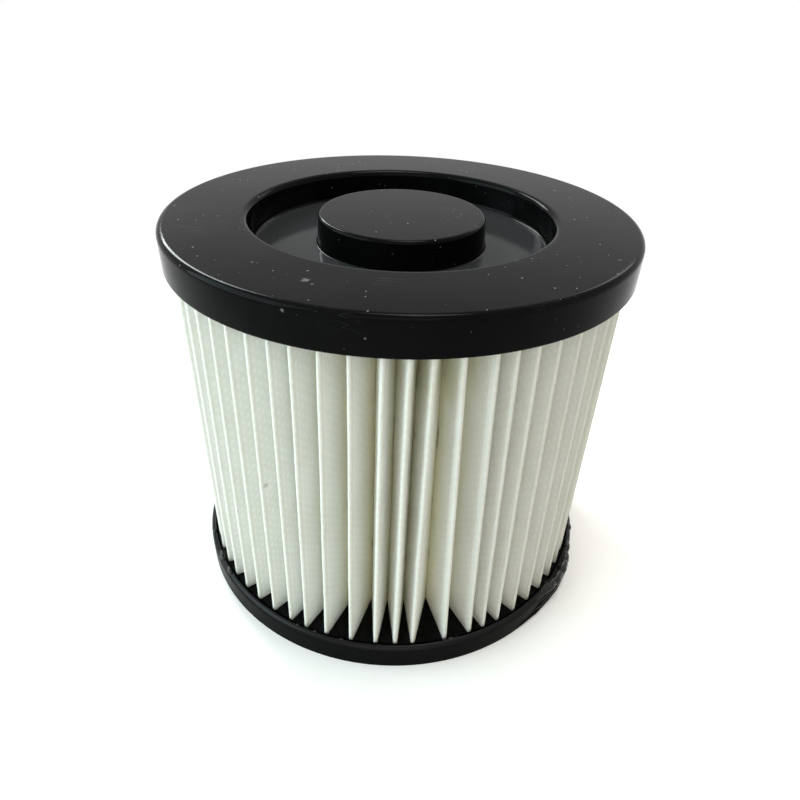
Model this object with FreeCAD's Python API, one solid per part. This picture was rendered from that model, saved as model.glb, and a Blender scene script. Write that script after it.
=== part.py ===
import FreeCAD, Part
import math
import os

# Pleated cartridge filter for a vacuum cleaner: a folded paper ring held between a closed end cap and an open
# end ring. It stands on the open end ring, +Z is its axis, and the origin is the centre of its underside.
# All sizes are in millimetres, all angles in degrees.

from FreeCAD import Vector

# Overall form
OVERALL_HEIGHT = 136.5
OUTER_RADIUS = 78.0
FIT_GAP = 0.3

# Top end cap: rim with a skirt, sunk dish, raised hollow hub
RIM_WALL = 2.6
CAP_WALL = 2.6
SKIRT_HEIGHT = 11.8
RIM_EDGE_ROUND = 1.7
DISH_DEPTH = 10.2
DISH_DRAFT = 2.0
DISH_EDGE_ROUND = 2.0
DISH_FLOOR_ROUND = 1.6
HUB_RADIUS = 27.8
HUB_DRAFT = 4.0
HUB_DROP = 0.5
HUB_EDGE_ROUND = 1.2

# Bottom end ring: a tray with a rounded lip outside and the bore wall inside
BORE_RADIUS = 50.0
BORE_WALL = 3.0
RING_HEIGHT = 9.6
RING_FLOOR = 2.5
RING_FOOT_BEVEL = 1.0
LIP_ROUND = 1.6
LIP_INNER_BEVEL = 0.6
BORE_LEAD_IN = 0.8

# Support core: a tube with rows of windows
CORE_WALL = 1.8
CORE_COLUMNS = 8
CORE_ROWS = 3
CORE_RIB_WIDTH = 7.0
CORE_HOOP_HEIGHT = 6.0
CORE_END_BAND = 12.0

# Folded paper
PLEAT_COUNT = 60
SHEET_THICKNESS = 0.9
TIP_FLAT_COUNT = 3
VALLEY_FLAT_COUNT = 1
FIRST_PLEAT_ANGLE = 2.0
# Pleats that were set off the even pitch, by their place in the row: how far each is turned
PLEAT_SHIFTS = {-4: -1.0, -3: -1.0, -1: 0.7, 1: -1.3, 2: 1.6, 3: 2.9, 4: 1.2}

# Adhesive that the paper ends are set in
BOTTOM_POTTING_DEPTH = 5.8
TOP_POTTING_DEPTH = 6.0
PAPER_END_COVER = 2.0
POCKET_FLAT_COUNT = 1

# Radii that follow from the sizes above, from the axis outwards
hub_foot_radius = HUB_RADIUS + (DISH_DEPTH - HUB_DROP) * math.tan(math.radians(HUB_DRAFT))
bore_wall_radius = BORE_RADIUS + BORE_WALL
dish_mouth_radius = bore_wall_radius - CAP_WALL
dish_floor_radius = dish_mouth_radius - DISH_DEPTH * math.tan(math.radians(DISH_DRAFT))
core_inner_radius = bore_wall_radius + FIT_GAP
core_outer_radius = core_inner_radius + CORE_WALL
valley_crease_radius = core_outer_radius + FIT_GAP + SHEET_THICKNESS
rim_inner_radius = OUTER_RADIUS - RIM_WALL
tip_crease_radius = rim_inner_radius - FIT_GAP - SHEET_THICKNESS

# Heights that follow from the sizes above
cap_underside = OVERALL_HEIGHT - CAP_WALL
skirt_bottom = OVERALL_HEIGHT - SKIRT_HEIGHT
dish_floor = OVERALL_HEIGHT - DISH_DEPTH
hub_top = OVERALL_HEIGHT - HUB_DROP
core_top = cap_underside - FIT_GAP
paper_bottom = RING_FLOOR + PAPER_END_COVER
paper_top = cap_underside - PAPER_END_COVER


def rounded_outline(corners):
    """Closed outline in the XZ plane from (radius, height, rounding) corners, each rounding a true arc."""
    points = [Vector(radius, 0, height) for radius, height, _ in corners]
    edges = []
    starts = []
    ends = []
    arcs = []
    for index, (_, _, rounding) in enumerate(corners):
        corner = points[index]
        to_last = (points[index - 1] - corner).normalize()
        to_next = (points[(index + 1) % len(points)] - corner).normalize()
        if rounding == 0:
            starts.append(corner)
            ends.append(corner)
            arcs.append(None)
            continue
        half_angle = to_last.getAngle(to_next) / 2
        middle_line = (to_last + to_next).normalize()
        reach = rounding / math.tan(half_angle)
        start = corner + to_last * reach
        end = corner + to_next * reach
        crown = corner + middle_line * (rounding / math.sin(half_angle) - rounding)
        starts.append(start)
        ends.append(end)
        arcs.append(Part.Arc(start, crown, end).toShape())
    for index, arc in enumerate(arcs):
        if arc:
            edges.append(arc)
        edges.append(Part.makeLine(ends[index], starts[(index + 1) % len(points)]))
    return Part.Wire(edges)


def turned(corners):
    """Solid of revolution about the axis from (radius, height, rounding) corners."""
    face = Part.Face(rounded_outline(corners))
    return face.revolve(Vector(0, 0, 0), Vector(0, 0, 1), 360)


def tube(inner_radius, outer_radius, bottom, top):
    return turned([
        (inner_radius, bottom, 0),
        (outer_radius, bottom, 0),
        (outer_radius, top, 0),
        (inner_radius, top, 0),
    ])


def top_end_cap():
    """One moulding of even wall: rim, skirt, dish and hollow hub."""
    return turned([
        (0, hub_top, 0),
        (HUB_RADIUS, hub_top, HUB_EDGE_ROUND),
        (hub_foot_radius, dish_floor, 0),
        (dish_floor_radius, dish_floor, DISH_FLOOR_ROUND),
        (dish_mouth_radius, OVERALL_HEIGHT, DISH_EDGE_ROUND),
        (OUTER_RADIUS, OVERALL_HEIGHT, RIM_EDGE_ROUND),
        (OUTER_RADIUS, skirt_bottom, 0),
        (rim_inner_radius, skirt_bottom, 0),
        (rim_inner_radius, cap_underside, 0),
        (dish_mouth_radius + CAP_WALL, cap_underside, 0),
        (dish_floor_radius + CAP_WALL, dish_floor - CAP_WALL, 0),
        (hub_foot_radius - CAP_WALL, dish_floor - CAP_WALL, 0),
        (HUB_RADIUS - CAP_WALL, hub_top - CAP_WALL, 0),
        (0, hub_top - CAP_WALL, 0),
    ])


def bottom_end_ring():
    """Tray ring: floor, rounded outer lip and the wall round the bore."""
    return turned([
        (BORE_RADIUS, BORE_LEAD_IN, 0),
        (BORE_RADIUS + BORE_LEAD_IN, 0, 0),
        (OUTER_RADIUS - RING_FOOT_BEVEL, 0, 0),
        (OUTER_RADIUS, RING_FOOT_BEVEL, 0),
        (OUTER_RADIUS, RING_HEIGHT, LIP_ROUND),
        (rim_inner_radius + LIP_INNER_BEVEL, RING_HEIGHT, 0),
        (rim_inner_radius, RING_HEIGHT - LIP_INNER_BEVEL, 0),
        (rim_inner_radius, RING_FLOOR, 0),
        (bore_wall_radius, RING_FLOOR, 0),
        (bore_wall_radius, RING_HEIGHT, 0),
        (BORE_RADIUS, RING_HEIGHT, 0),
    ])


def support_core():
    """Tube between the end mouldings, with windows in even rows and columns."""
    core = tube(core_inner_radius, core_outer_radius, RING_FLOOR, core_top)
    window_width = 2 * math.pi * core_outer_radius / CORE_COLUMNS - CORE_RIB_WIDTH
    window_zone = core_top - RING_FLOOR - 2 * CORE_END_BAND
    row_pitch = (window_zone + CORE_HOOP_HEIGHT) / CORE_ROWS
    window_height = row_pitch - CORE_HOOP_HEIGHT
    windows = []
    for row in range(CORE_ROWS):
        bottom = RING_FLOOR + CORE_END_BAND + row * row_pitch
        for column in range(CORE_COLUMNS):
            corner = Vector(0, -window_width / 2, bottom)
            window = Part.makeBox(core_outer_radius + CORE_WALL, window_width, window_height, corner)
            turn = 360 * column / CORE_COLUMNS
            windows.append(window.rotated(Vector(0, 0, 0), Vector(0, 0, 1), turn))
    return core.cut(windows)


def around(radius, angle):
    """Point at a radius, with the angle counted from the front, which is -Y, towards +X."""
    turn = math.radians(angle)
    return Vector(radius * math.sin(turn), -radius * math.cos(turn), 0)


def pleat_angles():
    pitch = 360 / PLEAT_COUNT
    shifts = {place % PLEAT_COUNT: shift for place, shift in PLEAT_SHIFTS.items()}
    return [FIRST_PLEAT_ANGLE + place * pitch + shifts.get(place, 0) for place in range(PLEAT_COUNT)]


def fold_points(before, centre, after, flats):
    """Outline of one fold, from the wall that comes from one crease to the wall that goes to the next.

    The sheet bends round the centre at its own thickness, in equal small turns with a flat between two turns.
    """
    arrive = centre - before
    leave = after - centre
    slant_in = math.asin(SHEET_THICKNESS / arrive.Length)
    slant_out = math.asin(SHEET_THICKNESS / leave.Length)
    heading_in = math.atan2(arrive.y, arrive.x)
    heading_out = math.atan2(leave.y, leave.x)
    bend = math.remainder(heading_out - heading_in, 2 * math.pi)
    side = math.copysign(1, bend)
    heading_in -= side * slant_in
    heading_out += side * slant_out
    bend = side * ((side * (heading_out - heading_in)) % (2 * math.pi))
    turn = bend / (flats + 1)
    reach = SHEET_THICKNESS / math.cos(turn / 2)
    points = []
    for place in range(flats + 1):
        direction = heading_in - side * math.pi / 2 + (place + 0.5) * turn
        points.append(centre + Vector(math.cos(direction), math.sin(direction), 0) * reach)
    return points


def folded_outline(creases, centres, flats):
    """One side of the folded sheet as a closed outline: sharp creases with a blunt fold after each."""
    points = []
    for index, centre in enumerate(centres):
        crease_before = creases[index]
        crease_after = creases[(index + 1) % len(creases)]
        points.append(crease_before)
        points += fold_points(crease_before, centre, crease_after, flats)
    return Part.makePolygon(points + points[:1])


def folded_sheet(tip_flats):
    """The pleated ring from end to end. Each fold is blunt outside and a sharp crease inside."""
    tip_angles = pleat_angles()
    next_angles = tip_angles[1:] + [tip_angles[0] + 360]
    valley_angles = [(tip + next_tip) / 2 for tip, next_tip in zip(tip_angles, next_angles)]
    tips = [around(tip_crease_radius, angle) for angle in tip_angles]
    valleys = [around(valley_crease_radius, angle) for angle in valley_angles]
    outside = folded_outline([valleys[-1]] + valleys[:-1], tips, tip_flats)
    inside = folded_outline(tips, valleys, VALLEY_FLAT_COUNT)
    section = Part.makeFace([outside, inside], "Part::FaceMakerBullseye")
    section.translate(Vector(0, 0, paper_bottom))
    return section.extrude(Vector(0, 0, paper_top - paper_bottom))


def potting(bottom, top):
    """Ring of adhesive outside the core, with a pocket that holds the ends of the folded sheet."""
    bed = tube(core_outer_radius, rim_inner_radius, bottom, top)
    return bed.cut(folded_sheet(POCKET_FLAT_COUNT))


def only_solid(shape):
    """The single solid of a cut, without the compound round it."""
    return shape.Solids[0] if len(shape.Solids) == 1 else shape


def build():
    return {
        "top_end_cap": top_end_cap(),
        "filter_pleats": folded_sheet(TIP_FLAT_COUNT),
        "support_core": only_solid(support_core()),
        "bottom_end_ring": bottom_end_ring(),
        "bottom_potting": only_solid(potting(RING_FLOOR, RING_FLOOR + BOTTOM_POTTING_DEPTH)),
        "top_potting": only_solid(potting(cap_underside - TOP_POTTING_DEPTH, cap_underside)),
    }


os.makedirs("parts", exist_ok=True)
for name, shape in build().items():
    shape.exportStep("parts/" + name + ".step")
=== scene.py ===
import math
import random

import bmesh
import bpy
from mathutils import Matrix, Vector


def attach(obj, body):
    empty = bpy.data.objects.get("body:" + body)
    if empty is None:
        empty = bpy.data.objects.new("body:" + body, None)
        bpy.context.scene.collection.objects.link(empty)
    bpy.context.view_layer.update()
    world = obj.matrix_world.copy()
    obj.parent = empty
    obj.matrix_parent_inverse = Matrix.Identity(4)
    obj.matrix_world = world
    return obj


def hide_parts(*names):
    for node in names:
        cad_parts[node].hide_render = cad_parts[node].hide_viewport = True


# Pleated cartridge filter: the looks of the moulded cap and ring, the folded paper and the set adhesive,
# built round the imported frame. Sizes are written in millimetres and used in metres.
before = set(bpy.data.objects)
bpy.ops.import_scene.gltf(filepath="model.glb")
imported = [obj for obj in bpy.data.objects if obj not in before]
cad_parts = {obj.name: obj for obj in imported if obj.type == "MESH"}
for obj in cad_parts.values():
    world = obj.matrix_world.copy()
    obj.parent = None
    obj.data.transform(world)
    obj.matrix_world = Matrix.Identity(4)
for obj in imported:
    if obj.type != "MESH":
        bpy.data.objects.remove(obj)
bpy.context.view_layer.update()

MM = 0.001
SEED = 11

# Overall form
OVERALL_HEIGHT = 136.5
OUTER_RADIUS = 78.0
RIM_INNER_RADIUS = 75.4
TURNED_SEGMENTS = 240
ROUND_STEPS = 7
ROUND_HOLD = 0.35
# Edges that bend by more than this stay crisp, in degrees
MOULDING_EDGE_ANGLE = 32
CORE_EDGE_ANGLE = 25
# Points nearer than this to each other, or to the axis, are one
JOIN_DISTANCE = 0.001
AXIS_DISTANCE = 1e-6

# Top end cap
CAP_WALL = 2.6
SKIRT_HEIGHT = 11.8
SKIRT_EDGE_ROUND = 0.5
RIM_EDGE_ROUND = 1.7
DISH_DEPTH = 10.2
DISH_MOUTH_RADIUS = 50.4
DISH_FLOOR_RADIUS = 50.04
DISH_EDGE_ROUND = 2.0
DISH_FLOOR_ROUND = 1.6
HUB_RADIUS = 27.8
HUB_FOOT_RADIUS = 28.48
HUB_DROP = 0.5
HUB_EDGE_ROUND = 1.2
HUB_FOOT_ROUND = 0.6
# Smudges and larger specks on the cap: angle, radius, height, size and strength
CAP_MARKS = [
    (-22.0, 64.2, 136.5, 1.5, 0.5), (-19.6, 65.7, 136.5, 0.7, 0.35), (-39.1, 63.0, 136.5, 0.6, 0.4),
    (-75.3, 66.0, 136.5, 0.6, 0.35), (-78.2, 59.4, 136.5, 0.6, 0.3), (31.7, 54.3, 136.5, 0.6, 0.3),
    (58.6, 72.9, 136.5, 0.9, 0.25), (-20.9, 78.0, 134.4, 0.7, 0.5), (-5.7, 78.0, 130.0, 0.5, 0.4),
]

# Bottom end ring
BORE_RADIUS = 50.0
BORE_WALL_RADIUS = 53.0
BORE_LEAD_IN = 0.8
RING_HEIGHT = 9.6
RING_FLOOR = 2.5
BED_INNER_RADIUS = 55.1
BED_TOP = 8.3
RING_FOOT_ROUND = 0.3
LIP_ROUND = 2.0
LIP_INNER_ROUND = 0.5

# Folded paper
PLEAT_COUNT = 60
PLEAT_PITCH = 360 / PLEAT_COUNT
FIRST_PLEAT_ANGLE = 2.0
PAPER_THICKNESS = 0.7
PAPER_BOTTOM = 4.5
PAPER_TOP = 131.9
TIP_CREASE_RADIUS = 74.4
VALLEY_CREASE_RADIUS = 56.1
FOLD_POINTS = 7
PAPER_ROWS = 44
RIDGE_WAVE = 0.28
# By place in the row, counted from the front: how far a pleat is set off the even pitch, and how far its
# top is turned against its foot, in degrees
PLEAT_SHIFTS = {-4: -1.0, -3: -1.0, -1: 0.7, 1: -1.3, 2: 1.6, 3: 2.9, 4: 1.2}
PLEAT_LEANS = {
    -10: 1.8, -9: 2.1, -8: 2.1, -7: 1.7, -6: 1.7, -5: 1.3, -4: 1.6, -3: 1.7, -2: 0.9, -1: 0.7, 0: 0.6,
    1: 0.6, 2: -2.5, 3: -3.0, 4: -2.6, 5: -2.3, 6: -2.6, 7: -1.9, 8: -1.6, 9: -1.2, 10: -0.8,
}
# Largest lean of the pleats that the photograph doesn't show
SPARE_LEAN = 0.9
# How far the valley before a pleat is set off the middle between its two tips, in degrees
VALLEY_SHIFTS = {1: 1.1, 2: 2.9, 3: 0.8}
# Bonded points of the pressed sheet: height between rows, distance along a row, and size
BOND_ROW_STEP = 1.64
BOND_PITCH = 3.4
BOND_RADIUS = 1.1
# Radius inside which the paper in the folds is painted lighter and yellower, as painted light that lifts the
# shade there
FOLD_LIFT_RADIUS = 70.0
# Marks on the paper: angle, radius and height of the middle, size, strength and colour
PAPER_MARKS = [
    (9.5, 64.0, 116.0, 17.0, 0.4, (0.50, 0.48, 0.27, 1.0)),
    (-32.2, 73.6, 68.4, 1.3, 0.55, (0.2, 0.2, 0.18, 1.0)),
]

# Adhesive that has run over the lip, down the wall and along the foot: angle from the front, radius, height
# and thickness along each run
RUNS = [
    [(42.0, 76.6, 8.2, 0.9), (48.0, 77.0, 8.2, 1.3), (52.0, 77.3, 8.2, 1.6), (56.0, 77.8, 8.0, 1.9),
     (60.0, 78.0, 7.6, 1.9), (64.0, 77.8, 7.8, 1.8), (67.0, 77.2, 8.2, 1.4), (71.0, 77.0, 8.3, 1.2),
     (75.0, 76.9, 8.4, 1.1), (80.0, 76.7, 8.3, 1.0), (86.0, 76.5, 8.2, 0.8)],
    [(42.0, 76.5, 6.0, 1.2), (50.0, 77.2, 6.0, 1.5), (58.0, 77.7, 6.0, 1.7), (64.0, 77.6, 6.0, 1.7),
     (70.0, 76.9, 6.0, 1.4), (76.0, 76.5, 6.0, 1.2)],
    [(40.0, 76.5, 3.5, 1.2), (48.0, 77.2, 3.5, 1.5), (57.0, 77.7, 3.5, 1.7), (65.0, 77.7, 3.5, 1.7),
     (70.0, 76.9, 3.5, 1.4), (75.0, 76.5, 3.5, 1.2)],
    [(34.0, 76.9, 1.5, 0.9), (40.0, 77.3, 1.5, 1.1), (46.0, 77.7, 1.5, 1.1), (52.0, 77.9, 1.5, 1.1),
     (57.0, 78.3, 1.6, 1.2), (61.0, 78.2, 1.6, 1.2), (65.0, 78.4, 1.6, 1.2), (69.0, 77.7, 1.5, 1.1),
     (73.0, 77.3, 1.5, 1.1), (78.0, 76.9, 1.5, 0.9)],
]
# Lumps that stand out of them, and single drops: angle, radius, height and size
LUMPS = [
    (49.8, 76.5, 9.2, 1.0), (51.6, 76.6, 9.6, 1.3), (53.4, 77.9, 9.1, 1.9), (56.4, 78.3, 9.0, 2.2),
    (61.2, 78.2, 8.8, 2.1), (65.0, 77.8, 8.2, 1.9), (69.6, 77.2, 8.8, 1.5), (78.4, 77.0, 8.8, 1.3),
    (-61.0, 76.4, 9.4, 0.9), (-59.2, 76.7, 9.4, 1.2), (-54.4, 76.5, 9.4, 0.8), (-53.0, 76.8, 9.4, 1.1),
    (-51.0, 76.5, 9.5, 0.5), (-27.5, 76.2, 9.5, 0.4), (-24.8, 76.3, 9.5, 0.6), (-22.4, 76.0, 9.5, 0.5),
    (-19.6, 76.1, 9.5, 0.6), (-16.2, 76.0, 9.5, 0.4), (-12.1, 76.2, 9.5, 0.6), (15.2, 75.9, 9.5, 0.6),
    (17.0, 76.1, 9.5, 0.8), (18.6, 75.9, 9.5, 0.5), (27.0, 75.8, 9.5, 0.4),
]
# Drops at the back: how many, and the least and greatest angle, radius and size
SPARE_DROPS = 40
SPARE_DROP_ANGLES = (92, 290)
SPARE_DROP_RADII = (75.8, 76.8)
SPARE_DROP_SIZES = (0.3, 0.9)
LUMP_STRETCH = 1.4
LUMP_TAPER = 0.8
ADHESIVE_VOXEL = 0.18
ADHESIVE_EASING = 20

# Colours of the finishes
CAP_BLACK = (0.002, 0.002, 0.0021, 1.0)
RING_BLACK = (0.0015, 0.0015, 0.0016, 1.0)
RUB_GREY = (0.3, 0.3, 0.31, 1.0)
DUST_GREY = (0.4, 0.4, 0.38, 1.0)
# Thin film on the dish floor: settled dust, and also a painted reflection that lightens the floor
DISH_DUST_AND_SHEEN_GREY = (0.028, 0.03, 0.032, 1.0)
PAPER_LIGHT = (0.80, 0.805, 0.75, 1.0)
PAPER_DULL = (0.77, 0.775, 0.71, 1.0)
PAPER_PRESSED = (0.88, 0.885, 0.86, 1.0)
# Painted light: lighter, yellower colour laid deep in the folds to lift their shade
PAPER_FOLD_LIFT = (0.95, 0.93, 0.70, 1.0)
# Painted shade: darker colour laid on the fold tips, to tone down the light on them
PAPER_TIP_SHADE = (0.52, 0.52, 0.48, 1.0)
# Dark streaks in the deepest part of the valleys
PAPER_STREAK_DARK = (0.12, 0.12, 0.085, 1.0)
ADHESIVE_BLACKS = (0.003, 0.003, 0.0032, 1.0), (0.006, 0.006, 0.0063, 1.0)
CORE_BLACKS = (0.024, 0.024, 0.026, 1.0), (0.036, 0.036, 0.038, 1.0)
CORE_DUST_GREY = (0.5, 0.5, 0.48, 1.0)
# Skin of adhesive on the ring's lip and on the spill: the heights where it begins and is full, and its weight
RING_FILM = (7.4, 9.6, 0.3)
SPILL_FILM = (7.6, 9.8, 0.6)

# Studio, in metres and watts
WHITE = (1.0, 1.0, 1.0, 1.0)
FLOOR_REACH = 12.0
FLOOR_COLOUR = (0.86, 0.86, 0.86, 1.0)
FLOOR_LIFT = 0.22
FLOOR_FADE = (0.16, 0.42)
AMBIENT_COLOUR = (1.0, 0.93, 0.76, 1.0)
AMBIENT_STRENGTH = 0.37
LAMP_AIM = (0, 0, 0.07)
# Name, place, size, power and colour
LAMPS = [
    ("left_softbox", (-1.15, -0.3, 0.6), (1.3, 1.1), 18.8, (0.73, 0.94, 1.0)),
    ("back_window", (-0.617, 0.95, 0.835), (0.3, 0.6), 11.0, (0.95, 1.0, 1.0)),
    ("ceiling_light", (0.1, 0.1, 1.4), (0.5, 0.45), 10.0, (1.0, 1.0, 0.98)),
    ("front_fill", (-0.05, -1.15, 0.75), (0.9, 0.7), 2.4, (1.0, 1.0, 0.96)),
    ("warm_fill", (1.05, -0.4, 0.45), (1.2, 0.9), 0.5, (1.0, 0.7, 0.2)),
    ("rim_light", (0.6, 0.95, 0.75), (0.3, 0.3), 0.8, (1.0, 1.0, 1.0)),
]

# Camera that the photograph was fitted with
CAMERA_PLACE = (0.0, -208.86, 201.72)
CAMERA_YAW = 0.0081
CAMERA_PITCH = 0.595
CAMERA_ROLL = 0.0382
FOCAL_PIXELS = 629.26
IMAGE_PIXELS = 800
SENSOR_WIDTH = 36.0


def around(radius, angle, height=0.0):
    """Point in metres at a radius and height, its angle counted from the front, which is -Y, towards +X."""
    turn = math.radians(angle)
    return Vector((radius * math.sin(turn), -radius * math.cos(turn), height)) * MM


class Graph:
    """Adds nodes to one tree, sets their sockets by name or number, and links them."""

    def __init__(self, tree):
        self.tree = tree

    def add(self, kind, sockets=None, **settings):
        node = self.tree.nodes.new(kind)
        for name, value in settings.items():
            setattr(node, name, value)
        for name, value in (sockets or {}).items():
            self.set(node.inputs[name], value)
        return node

    def set(self, socket, value):
        if isinstance(value, bpy.types.NodeSocket):
            self.tree.links.new(value, socket)
        else:
            socket.default_value = value

    def math(self, operation, *values):
        node = self.add("ShaderNodeMath", operation=operation)
        for place, value in enumerate(values):
            self.set(node.inputs[place], value)
        return node.outputs[0]

    def vector(self, operation, *values):
        node = self.add("ShaderNodeVectorMath", operation=operation)
        for place, value in enumerate(values):
            self.set(node.inputs[place], value)
        return node.outputs["Value" if operation in ("LENGTH", "DISTANCE") else "Vector"]

    def ramp(self, value, low, high, start=0.0, end=1.0):
        """Smooth step of a value between two limits, from start to end."""
        return self.add("ShaderNodeMapRange", {
            "Value": value, "From Min": low, "From Max": high, "To Min": start, "To Max": end,
        }, interpolation_type="SMOOTHSTEP").outputs["Result"]

    def blend(self, share, first, second):
        """Colour between two colours."""
        node = self.add("ShaderNodeMix", data_type="RGBA")
        self.set(node.inputs["Factor"], share)
        self.set(node.inputs[6], first)
        self.set(node.inputs[7], second)
        return node.outputs[2]


def new_group(name, kind, inputs, outputs):
    """Node group with named sockets: (name, type, default value) for inputs, (name, type) for outputs."""
    tree = bpy.data.node_groups.new(name, kind)
    for label, socket_type, default in inputs:
        socket = tree.interface.new_socket(name=label, in_out="INPUT", socket_type=socket_type)
        if default is not None:
            socket.default_value = default
    for label, socket_type in outputs:
        tree.interface.new_socket(name=label, in_out="OUTPUT", socket_type=socket_type)
    graph = Graph(tree)
    return tree, graph, graph.add("NodeGroupInput").outputs, graph.add("NodeGroupOutput").inputs


# Effects that several finishes share

def moulded_grain_group():
    """Fine unevenness of a moulded or set surface, as a height, and its slow change of gloss."""
    tree, graph, given, out = new_group("Moulded grain", "ShaderNodeTree", [
        ("Position", "NodeSocketVector", None),
        ("Grain Scale", "NodeSocketFloat", 900.0),
        ("Swell Scale", "NodeSocketFloat", 45.0),
    ], [("Height", "NodeSocketFloat"), ("Gloss Change", "NodeSocketFloat")])
    fine = graph.add("ShaderNodeTexNoise", {
        "Vector": given["Position"], "Scale": given["Grain Scale"], "Detail": 2.0, "Roughness": 0.5})
    swell = graph.add("ShaderNodeTexNoise", {
        "Vector": given["Position"], "Scale": given["Swell Scale"], "Detail": 3.0, "Roughness": 0.55})
    height = graph.math("ADD", graph.math("MULTIPLY", fine.outputs[0], 0.25), swell.outputs[0])
    graph.set(out["Height"], height)
    graph.set(out["Gloss Change"], graph.ramp(swell.outputs[0], 0.35, 0.7))
    return tree


def dust_specks_group():
    """Loose pale specks: a few per square centimetre, of mixed sizes, gathered in patches."""
    tree, graph, given, out = new_group("Dust specks", "ShaderNodeTree", [
        ("Position", "NodeSocketVector", None),
        ("Spacing", "NodeSocketFloat", 2.8),
        ("Speck Size", "NodeSocketFloat", 0.09),
        ("Amount", "NodeSocketFloat", 0.4),
    ], [("Mask", "NodeSocketFloat")])
    cells = graph.math("DIVIDE", 1000.0, given["Spacing"])
    speck = graph.add("ShaderNodeTexVoronoi", {"Vector": given["Position"], "Scale": cells}, feature="F1")
    chance = graph.add("ShaderNodeSeparateColor", {"Color": speck.outputs["Color"]})
    patches = graph.add("ShaderNodeTexNoise", {"Vector": given["Position"], "Scale": 38.0, "Detail": 3.0})
    share = graph.math("MULTIPLY", given["Amount"], graph.ramp(patches.outputs[0], 0.3, 0.7, 0.35, 1.5))
    there = graph.math("LESS_THAN", chance.outputs[0], share)
    size = graph.math("MULTIPLY", given["Speck Size"], graph.math("ADD", 0.35, chance.outputs[1]))
    near = graph.math("SUBTRACT", 1.0, graph.math("DIVIDE", speck.outputs["Distance"], size))
    dot = graph.math("MULTIPLY", graph.ramp(near, 0.0, 0.5), there)
    graph.set(out["Mask"], graph.math("MULTIPLY", dot, graph.math("ADD", 0.35, chance.outputs[2])))
    return tree


def fine_scratches_group():
    """Thin straight rubs in two crossing directions, broken into short lengths."""
    tree, graph, given, out = new_group("Fine scratches", "ShaderNodeTree", [
        ("Position", "NodeSocketVector", None),
        ("Amount", "NodeSocketFloat", 0.5),
    ], [("Mask", "NodeSocketFloat")])
    marks = []
    for turn, stretch in ((0.5, 14.0), (2.1, 20.0)):
        turned = graph.add("ShaderNodeMapping", {
            "Vector": given["Position"], "Rotation": (0.2, 0.1, turn), "Scale": (stretch, 420.0, 420.0)})
        line = graph.add("ShaderNodeTexNoise", {"Vector": turned.outputs[0], "Scale": 1.0, "Detail": 1.0})
        thin = graph.math("ABSOLUTE", graph.math("SUBTRACT", line.outputs[0], 0.5))
        marks.append(graph.ramp(thin, 0.0, 0.006, 1.0, 0.0))
    where = graph.add("ShaderNodeTexNoise", {"Vector": given["Position"], "Scale": 60.0, "Detail": 2.0})
    kept = graph.ramp(where.outputs[0], 0.55, 0.72)
    both = graph.math("MULTIPLY", graph.math("MAXIMUM", *marks), kept)
    graph.set(out["Mask"], graph.math("MULTIPLY", both, given["Amount"]))
    return tree


GRAIN = moulded_grain_group()
DUST = dust_specks_group()
SCRATCHES = fine_scratches_group()


class Finish:
    """One material: its graph, its Principled shader and the object coordinates that its patterns read."""

    def __init__(self, name):
        self.material = bpy.data.materials.new(name)
        self.material.use_nodes = True
        tree = self.material.node_tree
        tree.nodes.clear()
        self.graph = Graph(tree)
        self.shader = self.graph.add("ShaderNodeBsdfPrincipled")
        self.graph.add("ShaderNodeOutputMaterial", {"Surface": self.shader.outputs[0]})
        self.position = self.graph.add("ShaderNodeTexCoord").outputs["Object"]

    def effect(self, group, **sockets):
        named = {name.replace("_", " "): value for name, value in sockets.items()}
        node = self.graph.add("ShaderNodeGroup", {"Position": self.position, **named}, node_tree=group)
        return node.outputs

    def shade(self, **sockets):
        for name, value in sockets.items():
            self.graph.set(self.shader.inputs[name.replace("_", " ")], value)

    def bump(self, height, distance, strength):
        node = self.graph.add("ShaderNodeBump", {
            "Height": height, "Distance": distance, "Strength": strength})
        self.shade(Normal=node.outputs[0])

    def film(self, gloss, bare_height, full_height, weight):
        """Coat that grows between two heights, where a skin of adhesive lies on the lip."""
        height = self.graph.add("ShaderNodeSeparateXYZ", {"Vector": self.position}).outputs["Z"]
        self.shade(Coat_Weight=self.graph.ramp(height, bare_height * MM, full_height * MM, 0.0, weight))
        self.shade(Coat_Roughness=gloss)

    def spot(self, angle, radius, height, size, edge, breakup):
        """Distance from a mark's middle, with an uneven edge that a noise breaks up."""
        gap = self.graph.vector("DISTANCE", self.position, tuple(around(radius, angle, height)))
        uneven = self.graph.math("SUBTRACT", breakup.outputs[0], 0.5)
        return self.graph.math("ADD", gap, self.graph.math("MULTIPLY", uneven, edge * size * MM))


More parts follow.
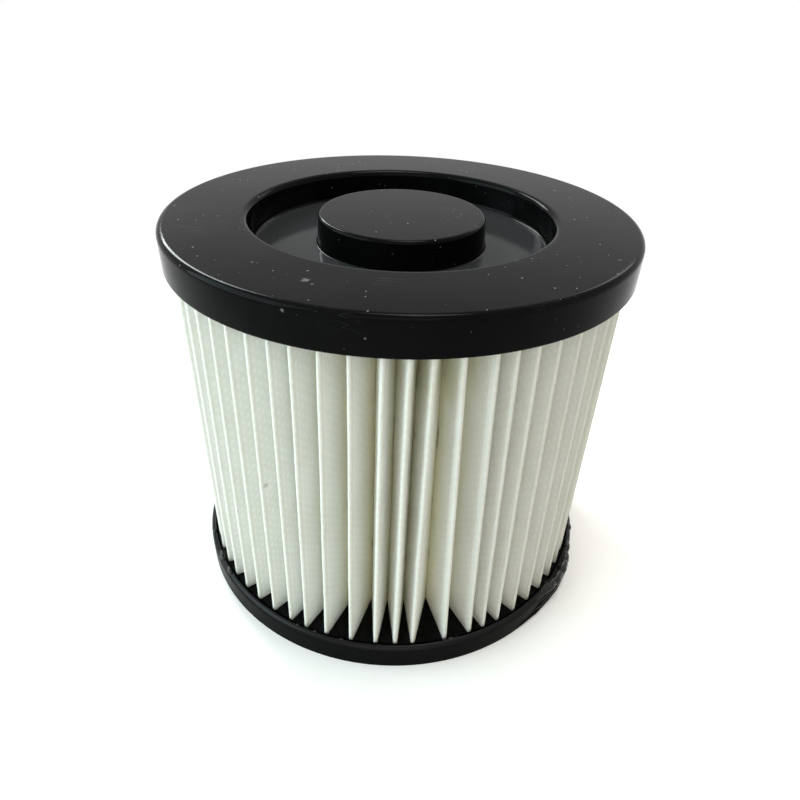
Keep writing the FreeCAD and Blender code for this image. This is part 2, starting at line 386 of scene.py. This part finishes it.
def black_gloss(name, colour, gloss, level, dust_amount, scratch_amount, marks=(), film=None, dust_and_sheen_floor=None):
    """Black moulding with a polished face, dust that has settled on it, fine rubs and smudges.

    The dust lies on upper faces, and as a thin even film on a dish floor whose height is given; that film is
    settled dust and also a painted reflection, which lightens the dish floor.
    """
    finish = Finish(name)
    graph = finish.graph
    grain = finish.effect(GRAIN)
    specks = finish.effect(DUST, Amount=dust_amount)["Mask"]
    rubs = finish.effect(SCRATCHES, Amount=scratch_amount)["Mask"]
    normal = graph.add("ShaderNodeNewGeometry").outputs["Normal"]
    facing = graph.add("ShaderNodeSeparateXYZ", {"Vector": normal})
    dust = graph.math("MULTIPLY", specks, graph.ramp(facing.outputs["Z"], 0.1, 0.9, 0.2, 0.6))
    tone = graph.blend(grain["Gloss Change"], colour, [c * 1.6 for c in colour[:3]] + [1.0])
    layered_colour = graph.blend(graph.math("MULTIPLY", rubs, 0.15), tone, RUB_GREY)
    dusty = graph.blend(dust, layered_colour, DUST_GREY)
    breakup = graph.add("ShaderNodeTexNoise", {"Vector": finish.position, "Scale": 900.0, "Detail": 3.0})
    for angle, radius, height, size, strength in marks:
        spread = finish.spot(angle, radius, height, size, 1.6, breakup)
        mark = graph.ramp(spread, -0.3 * size * MM, size * MM, strength, 0.0)
        dusty = graph.blend(mark, dusty, DUST_GREY)
    # Thin lighter film on the dish floor: settled dust, and also a painted reflection
    if dust_and_sheen_floor:
        height = graph.add("ShaderNodeSeparateXYZ", {"Vector": finish.position}).outputs["Z"]
        low = graph.ramp(height, (dust_and_sheen_floor + 0.4) * MM, (dust_and_sheen_floor + 2.0) * MM, 1.0, 0.0)
        level_face = graph.ramp(facing.outputs["Z"], 0.6, 0.98)
        thin = graph.math("MULTIPLY", graph.math("MULTIPLY", low, level_face),
                          graph.ramp(breakup.outputs[0], 0.2, 0.8, 0.85, 1.0))
        dusty = graph.blend(thin, dusty, DISH_DUST_AND_SHEEN_GREY)
    finish.shade(Base_Color=dusty)
    clean = graph.math("ADD", gloss, graph.math("MULTIPLY", grain["Gloss Change"], 0.06))
    worn = graph.math("ADD", clean, graph.math("MULTIPLY", rubs, 0.25))
    finish.shade(Roughness=graph.math("ADD", worn, graph.math("MULTIPLY", dust, 0.5)))
    finish.shade(IOR=1.46, Specular_IOR_Level=level)
    if film:
        finish.film(gloss, *film)
    finish.bump(grain["Height"], 0.0006, 0.1)
    return finish.material


def filter_paper():
    """Off-white pressed filter sheet, bonded in small staggered points.

    Deep in the folds it is painted lighter and yellower, as painted light that lifts the shade there; its
    tips are painted darker, as painted shade; and it has dark streaks in the deepest part of the valleys.
    """
    finish = Finish("filter_paper")
    graph = finish.graph
    along = graph.add("ShaderNodeAttribute", attribute_name="along").outputs["Fac"]
    place = graph.add("ShaderNodeSeparateXYZ", {"Vector": finish.position})
    radius = graph.vector("LENGTH", graph.vector("MULTIPLY", finish.position, (1.0, 1.0, 0.0)))
    depth = graph.ramp(radius, VALLEY_CREASE_RADIUS * MM, FOLD_LIFT_RADIUS * MM, 1.0, 0.0)
    row = graph.math("DIVIDE", place.outputs["Z"], BOND_ROW_STEP * MM)
    stagger = graph.math("MULTIPLY", graph.math("MODULO", graph.math("FLOOR", row), 2.0), 0.5)
    column = graph.math("ADD", graph.math("DIVIDE", along, BOND_PITCH * MM), stagger)
    across = graph.math("MULTIPLY", graph.math("SUBTRACT", graph.math("FRACT", column), 0.5), BOND_PITCH)
    upward = graph.math("MULTIPLY", graph.math("SUBTRACT", graph.math("FRACT", row), 0.5), BOND_ROW_STEP)
    reach = graph.math("SQRT", graph.math("ADD", graph.math("MULTIPLY", across, across),
                                          graph.math("MULTIPLY", upward, upward)))
    point = graph.ramp(reach, BOND_RADIUS * 0.15, BOND_RADIUS, 1.0, 0.0)
    fibres = graph.add("ShaderNodeTexNoise", {
        "Vector": finish.position, "Scale": 900.0, "Detail": 4.0, "Roughness": 0.6, "Distortion": 0.6})
    clouds = graph.add("ShaderNodeTexNoise", {
        "Vector": finish.position, "Scale": 55.0, "Detail": 4.0, "Roughness": 0.6})
    cloud = graph.ramp(clouds.outputs[0], 0.35, 0.7)
    clean = graph.blend(cloud, PAPER_LIGHT, PAPER_DULL)
    pressed = graph.blend(graph.math("MULTIPLY", point, 0.45), clean, PAPER_PRESSED)
    # Painted light: deep in the folds the colour is made lighter and yellower, to lift the shade there
    fold_lifted = graph.blend(graph.math("MULTIPLY", depth, 0.8), pressed, PAPER_FOLD_LIFT)
    # Dark streaks in the deepest part of the valleys
    drawn_out = graph.vector("MULTIPLY", finish.position, (1.0, 1.0, 0.35))
    streak_noise = graph.add("ShaderNodeTexNoise", {"Vector": drawn_out, "Scale": 420.0, "Detail": 2.0})
    deep = graph.ramp(
        radius, (VALLEY_CREASE_RADIUS + 0.5) * MM, (VALLEY_CREASE_RADIUS + 6.0) * MM, 1.0, 0.0)
    valley_streaks = graph.math("MULTIPLY", graph.ramp(streak_noise.outputs[0], 0.61, 0.70), deep)
    # Painted shade: the fold tips are painted darker, to tone down the light on them
    tip_shade = graph.ramp(radius, (TIP_CREASE_RADIUS - 0.8) * MM, (TIP_CREASE_RADIUS + 0.4) * MM, 0.0, 0.35)
    layered_colour = graph.blend(tip_shade, fold_lifted, PAPER_TIP_SHADE)
    streaked_and_marked = graph.blend(graph.math("MULTIPLY", valley_streaks, 0.35), layered_colour, PAPER_STREAK_DARK)
    for angle, spot_radius, height, size, strength, colour in PAPER_MARKS:
        spread = finish.spot(angle, spot_radius, height, size, 1.0, clouds)
        mark = graph.ramp(spread, size * 0.25 * MM, size * MM, strength, 0.0)
        streaked_and_marked = graph.blend(mark, streaked_and_marked, colour)
    finish.shade(Base_Color=streaked_and_marked)
    finish.shade(Roughness=graph.ramp(fibres.outputs[0], 0.2, 0.8, 0.78, 0.95))
    finish.shade(Specular_IOR_Level=0.2, Subsurface_Weight=0.5, Subsurface_Scale=0.002)
    finish.shade(Subsurface_Radius=(1.0, 0.95, 0.8))
    finish.bump(graph.math("ADD", graph.math("MULTIPLY", fibres.outputs[0], 0.5), point), 0.00010, 0.5)
    return finish.material


def set_adhesive(name, gloss, level, relief, dust_amount, film=None):
    """Black poured adhesive, skinned over and slightly lumpy."""
    finish = Finish(name)
    graph = finish.graph
    grain = finish.effect(GRAIN, Grain_Scale=420.0, Swell_Scale=190.0)
    dust = finish.effect(DUST, Amount=dust_amount, Spacing=1.6)["Mask"]
    tone = graph.blend(grain["Gloss Change"], *ADHESIVE_BLACKS)
    finish.shade(Base_Color=graph.blend(dust, tone, DUST_GREY))
    finish.shade(Roughness=graph.math("ADD", gloss, graph.math("MULTIPLY", grain["Gloss Change"], 0.15)))
    finish.shade(Specular_IOR_Level=level)
    if film:
        finish.film(gloss, *film)
    finish.bump(grain["Height"], 0.0006, relief)
    return finish.material


def core_plastic():
    """Plain black moulding of the inner core, satin from the mould."""
    finish = Finish("core_plastic")
    graph = finish.graph
    grain = finish.effect(GRAIN, Grain_Scale=1400.0, Swell_Scale=80.0)
    dust = finish.effect(DUST, Amount=0.15, Spacing=1.9)["Mask"]
    tone = graph.blend(grain["Gloss Change"], *CORE_BLACKS)
    finish.shade(Base_Color=graph.blend(dust, tone, CORE_DUST_GREY))
    finish.shade(Roughness=graph.math("ADD", 0.42, graph.math("MULTIPLY", grain["Gloss Change"], 0.15)))
    finish.bump(grain["Height"], 0.0005, 0.25)
    return finish.material


def new_piece(name, mesh, material):
    """Visible piece of one mesh and one finish."""
    mesh.materials.clear()
    mesh.materials.append(material)
    mesh.name = name
    piece = bpy.data.objects.new(name, mesh)
    bpy.context.scene.collection.objects.link(piece)
    return piece


def finish_piece(piece, slot, *nodes):
    """Rides the piece on the one body and hides the solids that it stands for. The finish name, slot, is not
    used.
    """
    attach(piece, "root")
    if nodes:
        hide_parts(*nodes)


# Turned mouldings

def rounded_profile(corners):
    """Points of a closed (radius, height) outline from (radius, height, rounding) corners, in millimetres.

    Each rounding is an arc, held by a point a little way along both straight runs, so that flats shade flat.
    """
    points = [Vector((radius, height)) for radius, height, _ in corners]
    profile = []
    for place, (_, _, rounding) in enumerate(corners):
        corner = points[place]
        if rounding == 0:
            profile.append(corner)
            continue
        to_last = (points[place - 1] - corner).normalized()
        to_next = (points[(place + 1) % len(points)] - corner).normalized()
        half_angle = to_last.angle(to_next) / 2
        reach = rounding / math.tan(half_angle)
        centre = corner + (to_last + to_next).normalized() * (rounding / math.sin(half_angle))
        start = corner + to_last * reach - centre
        end = corner + to_next * reach - centre
        hold = min(ROUND_HOLD, rounding)
        profile.append(corner + to_last * (reach + hold))
        for step in range(ROUND_STEPS + 1):
            profile.append(centre + start.slerp(end, step / ROUND_STEPS) * rounding)
        profile.append(corner + to_next * (reach + hold))
    return profile


def turned_mesh(name, corners):
    """Closed mesh of revolution about the axis, with one vertex where the outline meets the axis."""
    build = bmesh.new()
    rings = []
    for radius, height in rounded_profile(corners):
        if radius < AXIS_DISTANCE:
            rings.append([build.verts.new((0, 0, height * MM))])
            continue
        rings.append([build.verts.new(around(radius, 360 * turn / TURNED_SEGMENTS, height))
                      for turn in range(TURNED_SEGMENTS)])
    for ring, next_ring in zip(rings, rings[1:] + rings[:1]):
        for turn in range(TURNED_SEGMENTS):
            after = (turn + 1) % TURNED_SEGMENTS
            if len(ring) == 1 and len(next_ring) == 1:
                break
            corners_of_face = [ring[0]] if len(ring) == 1 else [ring[turn], ring[after]]
            corners_of_face += [next_ring[0]] if len(next_ring) == 1 else [next_ring[after], next_ring[turn]]
            build.faces.new(corners_of_face)
    bmesh.ops.recalc_face_normals(build, faces=build.faces)
    for face in build.faces:
        face.smooth = True
    mesh = bpy.data.meshes.new(name)
    build.to_mesh(mesh)
    build.free()
    mesh.set_sharp_from_angle(angle=math.radians(MOULDING_EDGE_ANGLE))
    return mesh


def cap_moulding():
    """Rim with its skirt, sunk dish and raised hollow hub, in one even wall."""
    dish_floor = OVERALL_HEIGHT - DISH_DEPTH
    hub_top = OVERALL_HEIGHT - HUB_DROP
    skirt_bottom = OVERALL_HEIGHT - SKIRT_HEIGHT
    return turned_mesh("cap_moulding", [
        (0, hub_top, 0),
        (HUB_RADIUS, hub_top, HUB_EDGE_ROUND),
        (HUB_FOOT_RADIUS, dish_floor, HUB_FOOT_ROUND),
        (DISH_FLOOR_RADIUS, dish_floor, DISH_FLOOR_ROUND),
        (DISH_MOUTH_RADIUS, OVERALL_HEIGHT, DISH_EDGE_ROUND),
        (OUTER_RADIUS, OVERALL_HEIGHT, RIM_EDGE_ROUND),
        (OUTER_RADIUS, skirt_bottom, SKIRT_EDGE_ROUND),
        (RIM_INNER_RADIUS, skirt_bottom, SKIRT_EDGE_ROUND),
        (RIM_INNER_RADIUS, OVERALL_HEIGHT - CAP_WALL, 0),
        (DISH_MOUTH_RADIUS + CAP_WALL, OVERALL_HEIGHT - CAP_WALL, 0),
        (DISH_FLOOR_RADIUS + CAP_WALL, dish_floor - CAP_WALL, 0),
        (HUB_FOOT_RADIUS - CAP_WALL, dish_floor - CAP_WALL, 0),
        (HUB_RADIUS - CAP_WALL, hub_top - CAP_WALL, 0),
        (0, hub_top - CAP_WALL, 0),
    ])


def ring_moulding():
    """Tray ring: floor, rounded outer lip and the wall round the bore."""
    return turned_mesh("ring_moulding", [
        (BORE_RADIUS, 0, BORE_LEAD_IN),
        (OUTER_RADIUS, 0, RING_FOOT_ROUND),
        (OUTER_RADIUS, RING_HEIGHT, LIP_ROUND),
        (RIM_INNER_RADIUS, RING_HEIGHT, LIP_INNER_ROUND),
        (RIM_INNER_RADIUS, RING_FLOOR, 0),
        (BORE_WALL_RADIUS, RING_FLOOR, 0),
        (BORE_WALL_RADIUS, RING_HEIGHT, 0),
        (BORE_RADIUS, RING_HEIGHT, 0),
    ])


def adhesive_bed():
    """Poured bed that fills the tray round the core. The folded paper stands in it."""
    return turned_mesh("adhesive_bed", [
        (BED_INNER_RADIUS, RING_FLOOR, 0),
        (RIM_INNER_RADIUS, RING_FLOOR, 0),
        (RIM_INNER_RADIUS, BED_TOP, 0),
        (BED_INNER_RADIUS, BED_TOP, 0),
    ])


# Folded paper

def pleat_row():
    """Tip angle and lean of each pleat, in degrees, from the back round past the front to the back."""
    chance = random.Random(SEED)
    row = []
    for place in range(-PLEAT_COUNT // 2, PLEAT_COUNT // 2):
        angle = FIRST_PLEAT_ANGLE + place * PLEAT_PITCH + PLEAT_SHIFTS.get(place, 0.0)
        lean = PLEAT_LEANS.get(place, chance.uniform(-SPARE_LEAN, SPARE_LEAN))
        row.append((angle, lean))
    return row


def fold_corner(centre, before, after):
    """Where the two walls of a fold would meet if the sheet had no rounding about the fold's centre."""
    bend_radius = PAPER_THICKNESS / 2 * MM
    to_before = before - centre
    to_after = after - centre
    half_angle = to_before.angle(to_after) / 2 - math.asin(2 * bend_radius / to_before.length)
    away = -(to_before.normalized() + to_after.normalized()).normalized()
    return centre + away * (bend_radius / math.sin(half_angle))


def crease_outline():
    """Closed line through the corners of every fold, valley and tip in turn, each with its lean."""
    row = pleat_row()
    centres = []
    leans = []
    for place, (angle, lean) in enumerate(row):
        last_angle, last_lean = row[place - 1]
        if place == 0:
            last_angle -= 360
        shift = VALLEY_SHIFTS.get(place - PLEAT_COUNT // 2, 0.0)
        centres.append(around(VALLEY_CREASE_RADIUS, (last_angle + angle) / 2 + shift))
        leans.append(math.radians((last_lean + lean) / 2))
        centres.append(around(TIP_CREASE_RADIUS, angle))
        leans.append(math.radians(lean))
    corners = [fold_corner(centre, centres[place - 1], centres[(place + 1) % len(centres)])
               for place, centre in enumerate(centres)]
    mesh = bpy.data.meshes.new("crease_outline")
    edges = [(place, (place + 1) % len(corners)) for place in range(len(corners))]
    mesh.from_pydata(corners, edges, [])
    mesh.attributes.new("lean", "FLOAT", "POINT").data.foreach_set("value", leans)
    return mesh


def pleated_sheet_tree():
    """Rounds the folds of a crease outline, raises it into a sheet, and leans and waves its pleats."""
    tree, graph, given, out = new_group("Pleated sheet", "GeometryNodeTree", [
        ("Crease Outline", "NodeSocketGeometry", None),
        ("Fold Round", "NodeSocketFloat", 0.45 * MM),
        ("Fold Points", "NodeSocketInt", 6),
        ("Bottom", "NodeSocketFloat", 0.0),
        ("Top", "NodeSocketFloat", 0.1),
        ("Rows", "NodeSocketInt", 40),
        ("Ridge Wave", "NodeSocketFloat", 0.3 * MM),
        ("Seed", "NodeSocketFloat", 0.0),
        ("Paper", "NodeSocketMaterial", None),
    ], [("Sheet", "NodeSocketGeometry")])
    line = graph.add("GeometryNodeMeshToCurve", {"Mesh": given["Crease Outline"]})
    folds = graph.add("GeometryNodeFilletCurve", {
        "Curve": line.outputs[0], "Count": given["Fold Points"], "Radius": given["Fold Round"],
        "Limit Radius": True}, mode="POLY")
    length = graph.add("GeometryNodeSplineParameter").outputs["Length"]
    measured = graph.add("GeometryNodeStoreNamedAttribute", {
        "Geometry": folds.outputs[0], "Name": "along", "Value": length}, data_type="FLOAT", domain="POINT")
    upright = graph.add("GeometryNodeSetCurveNormal", {"Curve": measured.outputs[0]}, mode="Z_UP")
    rise = graph.math("SUBTRACT", given["Top"], given["Bottom"])
    stroke_end = graph.add("ShaderNodeCombineXYZ", {"Y": graph.math("MULTIPLY", rise, -1.0)}).outputs[0]
    stroke = graph.add("GeometryNodeCurvePrimitiveLine", {
        "Start": (0.0, 0.0, 0.0), "End": stroke_end}, mode="POINTS")
    steps = graph.add("GeometryNodeResampleCurve", {
        "Curve": stroke.outputs[0], "Count": given["Rows"]}, mode="COUNT")
    raised = graph.add("GeometryNodeCurveToMesh", {
        "Curve": upright.outputs[0], "Profile Curve": steps.outputs[0]})

    position = graph.add("GeometryNodeInputPosition").outputs[0]
    height = graph.add("ShaderNodeSeparateXYZ", {"Vector": position}).outputs["Z"]
    share = graph.math("DIVIDE", height, rise)
    lean = graph.add("GeometryNodeInputNamedAttribute", {"Name": "lean"}, data_type="FLOAT").outputs[0]
    noise_place = graph.vector("MULTIPLY", position, (1.0, 1.0, 0.28))
    wave = graph.add("ShaderNodeTexNoise", {
        "Vector": noise_place, "W": given["Seed"], "Scale": 110.0, "Detail": 3.0,
    }, noise_dimensions="4D").outputs[0]
    swing = graph.math("MULTIPLY", graph.math("SUBTRACT", wave, 0.5), 2.0)
    free = graph.math("MULTIPLY", graph.ramp(share, 0.03, 0.2), graph.ramp(share, 0.9, 1.0, 1.0, 0.4))
    wave_reach = graph.math("MULTIPLY", graph.math("MULTIPLY", swing, free), given["Ridge Wave"])
    wave_turn = graph.math("DIVIDE", wave_reach, TIP_CREASE_RADIUS * MM)
    turn = graph.math("ADD", graph.math("MULTIPLY", lean, share), wave_turn)
    leaned = graph.add("ShaderNodeVectorRotate", {"Vector": position, "Angle": turn}, rotation_type="Z_AXIS")
    base = graph.add("ShaderNodeCombineXYZ", {"Z": given["Bottom"]}).outputs[0]
    placed = graph.add("GeometryNodeSetPosition", {
        "Geometry": raised.outputs[0], "Position": leaned.outputs[0], "Offset": base})
    smooth = graph.add("GeometryNodeSetShadeSmooth", {"Geometry": placed.outputs[0]})
    real = graph.add("GeometryNodeRealizeInstances", {"Geometry": smooth.outputs[0]})
    painted = graph.add("GeometryNodeSetMaterial", {"Geometry": real.outputs[0], "Material": given["Paper"]})
    graph.set(out["Sheet"], painted.outputs[0])
    return tree


def grown_mesh(name, seed_mesh, tree, values, thickness=0.0):
    """Plain mesh of a Geometry Nodes tree on a seed mesh, given a wall where a thickness is stated."""
    carrier = bpy.data.objects.new(name + "_seed", seed_mesh)
    bpy.context.scene.collection.objects.link(carrier)
    grow = carrier.modifiers.new("Grow", "NODES")
    grow.node_group = tree
    for socket in tree.interface.items_tree:
        if socket.in_out == "INPUT" and socket.name in values:
            grow[socket.identifier] = values[socket.name]
    if thickness:
        wall = carrier.modifiers.new("Wall", "SOLIDIFY")
        wall.thickness = thickness
        wall.offset = 0.0
        wall.use_even_offset = True
    held = bpy.context.evaluated_depsgraph_get()
    mesh = bpy.data.meshes.new_from_object(carrier.evaluated_get(held), depsgraph=held)
    bpy.data.objects.remove(carrier)
    mesh.name = name
    return mesh


def paper_ring(paper):
    """The whole folded sheet, with its thickness."""
    return grown_mesh("paper_ring", crease_outline(), pleated_sheet_tree(), {
        "Fold Round": PAPER_THICKNESS / 2 * MM,
        "Fold Points": FOLD_POINTS,
        "Bottom": PAPER_BOTTOM * MM,
        "Top": PAPER_TOP * MM,
        "Rows": PAPER_ROWS,
        "Ridge Wave": RIDGE_WAVE * MM,
        "Seed": float(SEED),
        "Paper": paper,
    }, thickness=PAPER_THICKNESS * MM)


# Set adhesive

def adhesive_paths():
    """Lines that the spilt adhesive follows on the ring, with its thickness at each point."""
    chance = random.Random(SEED)
    runs = list(RUNS)
    lumps = list(LUMPS)
    for _ in range(SPARE_DROPS):
        lumps.append((chance.uniform(*SPARE_DROP_ANGLES), chance.uniform(*SPARE_DROP_RADII), RING_HEIGHT,
                      chance.uniform(*SPARE_DROP_SIZES)))
    for angle, radius, height, size in lumps:
        half_length = math.degrees(LUMP_STRETCH * size / radius) / 2
        runs.append([(angle - half_length, radius, height, size),
                     (angle + half_length, radius, height, size * LUMP_TAPER)])
    points = []
    edges = []
    sizes = []
    for run in runs:
        for place, (angle, radius, height, size) in enumerate(run):
            if place:
                edges.append((len(points) - 1, len(points)))
            points.append(around(radius, angle, height))
            sizes.append(size * MM)
    mesh = bpy.data.meshes.new("adhesive_paths")
    mesh.from_pydata(points, edges, [])
    mesh.attributes.new("run_size", "FLOAT", "POINT").data.foreach_set("value", sizes)
    return mesh


def spilt_adhesive_tree():
    """Lays lumpy adhesive of the stated thickness along each line and fuses it into one skin."""
    tree, graph, given, out = new_group("Spilt adhesive", "GeometryNodeTree", [
        ("Paths", "NodeSocketGeometry", None),
        ("Spacing", "NodeSocketFloat", 0.15 * MM),
        ("Lumps", "NodeSocketFloat", 0.05),
        ("Voxel", "NodeSocketFloat", 0.2 * MM),
        ("Seed", "NodeSocketFloat", 0.0),
        ("Adhesive", "NodeSocketMaterial", None),
    ], [("Spill", "NodeSocketGeometry")])
    lines = graph.add("GeometryNodeMeshToCurve", {"Mesh": given["Paths"]})
    steps = graph.add("GeometryNodeResampleCurve", {
        "Curve": lines.outputs[0], "Length": given["Spacing"]}, mode="LENGTH")
    points = graph.add("GeometryNodeCurveToPoints", {"Curve": steps.outputs[0]}, mode="EVALUATED")
    size = graph.add("GeometryNodeInputNamedAttribute", {"Name": "run_size"}, data_type="FLOAT").outputs[0]
    lump = graph.add("ShaderNodeTexNoise", {"W": given["Seed"], "Scale": 420.0, "Detail": 2.0},
                     noise_dimensions="4D").outputs[0]
    swing = graph.math("MULTIPLY", graph.math("SUBTRACT", lump, 0.5), 2.0)
    lumpy = graph.math("ADD", 1.0, graph.math("MULTIPLY", swing, given["Lumps"]))
    radius = graph.math("MULTIPLY", size, lumpy)
    fog = graph.add("GeometryNodePointsToVolume", {
        "Points": points.outputs[0], "Voxel Size": given["Voxel"], "Radius": radius,
    }, resolution_mode="VOXEL_SIZE")
    skin = graph.add("GeometryNodeVolumeToMesh", {
        "Volume": fog.outputs[0], "Threshold": 0.1, "Adaptivity": 0.0}, resolution_mode="GRID")
    position = graph.add("GeometryNodeInputPosition").outputs[0]
    eased = graph.add("GeometryNodeBlurAttribute", {
        "Value": position, "Iterations": ADHESIVE_EASING}, data_type="FLOAT_VECTOR")
    settled = graph.add("GeometryNodeSetPosition", {
        "Geometry": skin.outputs[0], "Position": eased.outputs[0]})
    smooth = graph.add("GeometryNodeSetShadeSmooth", {"Geometry": settled.outputs[0]})
    real = graph.add("GeometryNodeRealizeInstances", {"Geometry": smooth.outputs[0]})
    painted = graph.add("GeometryNodeSetMaterial", {
        "Geometry": real.outputs[0], "Material": given["Adhesive"]})
    graph.set(out["Spill"], painted.outputs[0])
    return tree


def smooth_copy(name, node):
    """A solid's own mesh with its loose triangles joined, so that round walls shade round."""
    build = bmesh.new()
    build.from_mesh(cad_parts[node].data)
    bmesh.ops.remove_doubles(build, verts=build.verts, dist=JOIN_DISTANCE * MM)
    for face in build.faces:
        face.smooth = True
    mesh = bpy.data.meshes.new(name)
    build.to_mesh(mesh)
    build.free()
    mesh.set_sharp_from_angle(angle=math.radians(CORE_EDGE_ANGLE))
    return mesh


def build_filter():
    """Makes the finishes and the visible pieces. The upper bed of adhesive is the solid's own mesh."""
    cap_black = black_gloss(
        "cap_gloss", CAP_BLACK, gloss=0.08, level=0.042, dust_amount=0.6, scratch_amount=0.7,
        marks=CAP_MARKS, dust_and_sheen_floor=OVERALL_HEIGHT - DISH_DEPTH)
    ring_black = black_gloss(
        "ring_gloss", RING_BLACK, gloss=0.28, level=0.022, dust_amount=0.2, scratch_amount=0.5,
        film=RING_FILM)
    paper = filter_paper()
    adhesive = set_adhesive("adhesive_bed", gloss=0.28, level=0.06, relief=0.3, dust_amount=0.12)
    wet_adhesive = set_adhesive(
        "adhesive_spill", gloss=0.08, level=0.02, relief=0.01, dust_amount=0.0, film=SPILL_FILM)
    core_black = core_plastic()

    finish_piece(new_piece("cap_moulding", cap_moulding(), cap_black), "cap_plastic", "top_end_cap")
    finish_piece(new_piece("ring_moulding", ring_moulding(), ring_black), "ring_plastic", "bottom_end_ring")
    finish_piece(new_piece("paper_ring", paper_ring(paper), paper), "filter_paper", "filter_pleats")
    finish_piece(new_piece("core_tube", smooth_copy("core_tube", "support_core"), core_black),
                 "core_plastic", "support_core")
    finish_piece(new_piece("adhesive_bed", adhesive_bed(), adhesive), "adhesive", "bottom_potting")
    spill = grown_mesh("adhesive_spill", adhesive_paths(), spilt_adhesive_tree(),
                       {"Voxel": ADHESIVE_VOXEL * MM, "Seed": float(SEED), "Adhesive": wet_adhesive})
    finish_piece(new_piece("adhesive_spill", spill, wet_adhesive), "adhesive")
    top_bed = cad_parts["top_potting"].data
    top_bed.materials.clear()
    top_bed.materials.append(adhesive)


# Stage, light and camera

def seen_share(graph):
    """1 where a ray comes from the camera or a mirrored or clear face, and 0 where it only gathers light."""
    path = graph.add("ShaderNodeLightPath").outputs
    return graph.math("MAXIMUM", path["Is Camera Ray"],
                      graph.math("MAXIMUM", path["Is Glossy Ray"], path["Is Transmission Ray"]))


def lay_floor():
    """Pale floor that takes the shadow, turns white away from the part, and is open from below."""
    mesh = bpy.data.meshes.new("floor")
    corners = [(-FLOOR_REACH, -FLOOR_REACH, 0), (FLOOR_REACH, -FLOOR_REACH, 0),
               (FLOOR_REACH, FLOOR_REACH, 0), (-FLOOR_REACH, FLOOR_REACH, 0)]
    mesh.from_pydata(corners, [], [(0, 1, 2, 3)])
    material = bpy.data.materials.new("floor_white")
    material.use_nodes = True
    tree = material.node_tree
    tree.nodes.clear()
    graph = Graph(tree)
    diffuse = graph.add("ShaderNodeBsdfDiffuse", {"Color": FLOOR_COLOUR})
    shown = seen_share(graph)
    white = graph.add("ShaderNodeEmission", {"Color": WHITE, "Strength": 1.0})
    lift = graph.add("ShaderNodeEmission", {
        "Color": WHITE, "Strength": graph.math("MULTIPLY", shown, FLOOR_LIFT)})
    near = graph.add("ShaderNodeAddShader", {0: diffuse.outputs[0], 1: lift.outputs[0]})
    distance = graph.vector("LENGTH", graph.add("ShaderNodeTexCoord").outputs["Object"])
    lifted = graph.add("ShaderNodeMixShader", {
        0: graph.math("MULTIPLY", shown, graph.ramp(distance, *FLOOR_FADE)),
        1: near.outputs[0],
        2: white.outputs[0]})
    open_below = graph.add("ShaderNodeMixShader", {
        0: graph.add("ShaderNodeNewGeometry").outputs["Backfacing"],
        1: lifted.outputs[0],
        2: graph.add("ShaderNodeBsdfTransparent").outputs[0]})
    graph.add("ShaderNodeOutputMaterial", {"Surface": open_below.outputs[0]})
    mesh.materials.append(material)
    floor = bpy.data.objects.new("floor", mesh)
    bpy.context.scene.collection.objects.link(floor)


def white_surround():
    """Surround that looks white and gives a soft, slightly warm light from all sides."""
    world = bpy.data.worlds.new("white_surround")
    world.use_nodes = True
    world.node_tree.nodes.clear()
    graph = Graph(world.node_tree)
    ambient = graph.add("ShaderNodeBackground", {"Color": AMBIENT_COLOUR, "Strength": AMBIENT_STRENGTH})
    white = graph.add("ShaderNodeBackground", {"Color": WHITE, "Strength": 1.0})
    either = graph.add("ShaderNodeMixShader", {
        0: seen_share(graph), 1: ambient.outputs[0], 2: white.outputs[0]})
    graph.add("ShaderNodeOutputWorld", {"Surface": either.outputs[0]})
    bpy.context.scene.world = world


def soft_lamp(name, place, size, power, colour):
    """Rectangular lamp that faces the middle of the part."""
    data = bpy.data.lights.new(name, "AREA")
    data.shape = "RECTANGLE"
    data.size, data.size_y = size
    data.energy = power
    data.color = colour
    lamp = bpy.data.objects.new(name, data)
    lamp.location = place
    aim = Vector(LAMP_AIM) - Vector(place)
    lamp.rotation_euler = aim.to_track_quat("-Z", "Y").to_euler()
    bpy.context.scene.collection.objects.link(lamp)


def photo_camera():
    """Camera at the place, turn and field of view that the photograph was taken with."""
    forward = Vector((math.sin(CAMERA_YAW) * math.cos(CAMERA_PITCH),
                      math.cos(CAMERA_YAW) * math.cos(CAMERA_PITCH), -math.sin(CAMERA_PITCH)))
    level = Vector((math.cos(CAMERA_YAW), -math.sin(CAMERA_YAW), 0))
    above = level.cross(forward)
    right = math.cos(CAMERA_ROLL) * level + math.sin(CAMERA_ROLL) * above
    upward = math.cos(CAMERA_ROLL) * above - math.sin(CAMERA_ROLL) * level
    data = bpy.data.cameras.new("photo_camera")
    data.sensor_width = SENSOR_WIDTH
    data.lens = FOCAL_PIXELS * SENSOR_WIDTH / IMAGE_PIXELS
    data.clip_start = 0.01
    camera = bpy.data.objects.new("photo_camera", data)
    turn = Matrix((right, upward, -forward)).transposed().to_4x4()
    camera.matrix_world = Matrix.Translation(Vector(CAMERA_PLACE) * MM) @ turn
    bpy.context.scene.collection.objects.link(camera)
    bpy.context.scene.camera = camera


build_filter()
lay_floor()
white_surround()
for lamp_values in LAMPS:
    soft_lamp(*lamp_values)
photo_camera()
bpy.context.scene.view_settings.view_transform = "Standard"
